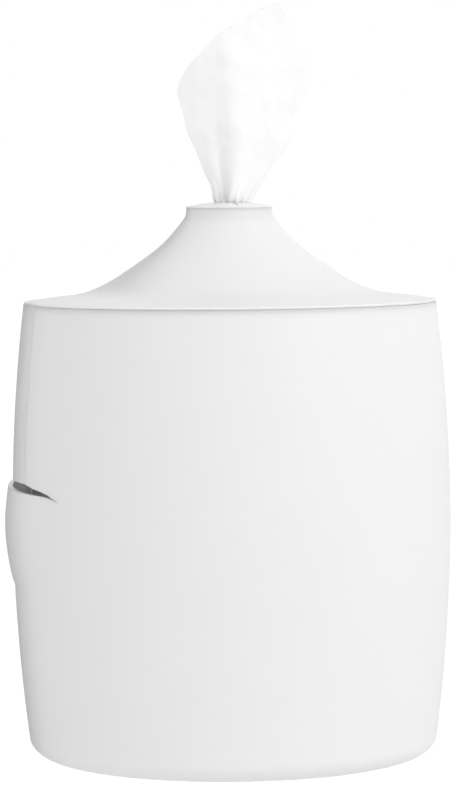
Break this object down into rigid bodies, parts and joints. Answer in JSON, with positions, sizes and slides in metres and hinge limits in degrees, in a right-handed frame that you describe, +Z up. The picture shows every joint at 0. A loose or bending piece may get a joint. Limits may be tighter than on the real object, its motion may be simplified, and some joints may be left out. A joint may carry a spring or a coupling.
{
  "type": "wall-mounted wipes dispenser",
  "caption": "Round wall-mounted dispenser for a centre-pull roll of wipes, with a flared hood, slit nozzle, finger pockets and a cover that swings down.",
  "frame": {"origin": "centre of the four wall holes, on the wall plane", "axes": "+Z up, +Y into the wall, front faces -Y"},
  "size_m": [0.2742, 0.2756, 0.4718],
  "materials": {
    "white_shell": "moulded white ABS, satin gloss",
    "white_nozzle": "moulded white polypropylene",
    "silicone": "translucent soft membrane",
    "grey_plastic": "moulded light grey acetal",
    "bag_film": "clear polyethylene film",
    "wipe_cloth": "moist white nonwoven",
    "screw_steel": "zinc plated",
    "pin_steel": "stainless"
  },
  "bodies": {
    "housing": {"back_shell": "white_shell", "hood": "white_shell", "nozzle_cap": "white_nozzle", "orifice_membrane": "silicone", "membrane_ring": "white_nozzle", "membrane_screws": "screw_steel", "hood_screws": "screw_steel", "roll_tray": "grey_plastic", "tray_screws": "screw_steel", "refill_bag": "bag_film", "wipe_roll": "wipe_cloth", "hinge_pin_left": "pin_steel", "hinge_pin_right": "pin_steel", "strike_plate_left": "pin_steel", "strike_plate_right": "pin_steel", "strike_screws": "screw_steel"},
    "cover": {"front_cover": "white_shell", "latch_pin_left": "pin_steel", "latch_pin_right": "pin_steel"},
    "latch_left": {"latch_lever_left": "grey_plastic", "latch_spring_left": "pin_steel"},
    "latch_right": {"latch_lever_right": "grey_plastic", "latch_spring_right": "pin_steel"},
    "wipe": {"wipe_sheet": "wipe_cloth", "wipe_tail": "wipe_cloth"}
  },
  "joints": [
    {"name": "cover_hinge", "type": "hinge", "parent": "housing", "child": "cover", "pos_m": [0, -0.05, -0.1458], "axis": [1, 0, 0], "range_deg": [0, 80]},
    {"name": "latch_left_press", "type": "hinge", "parent": "cover", "child": "latch_left", "pos_m": [-0.125, -0.118, -0.02], "axis": [0, -1, 0], "range_deg": [0, 7], "stiffness_Nm_per_rad": 0.3, "springref_deg": -8.59},
    {"name": "latch_right_press", "type": "hinge", "parent": "cover", "child": "latch_right", "pos_m": [0.125, -0.118, -0.02], "axis": [0, 1, 0], "range_deg": [0, 7], "stiffness_Nm_per_rad": 0.3, "springref_deg": -8.59},
    {"name": "wipe_pull", "type": "slide", "parent": "housing", "child": "wipe", "axis": [0, 0, 1], "range_m": [0, 0.06]}
  ]
}
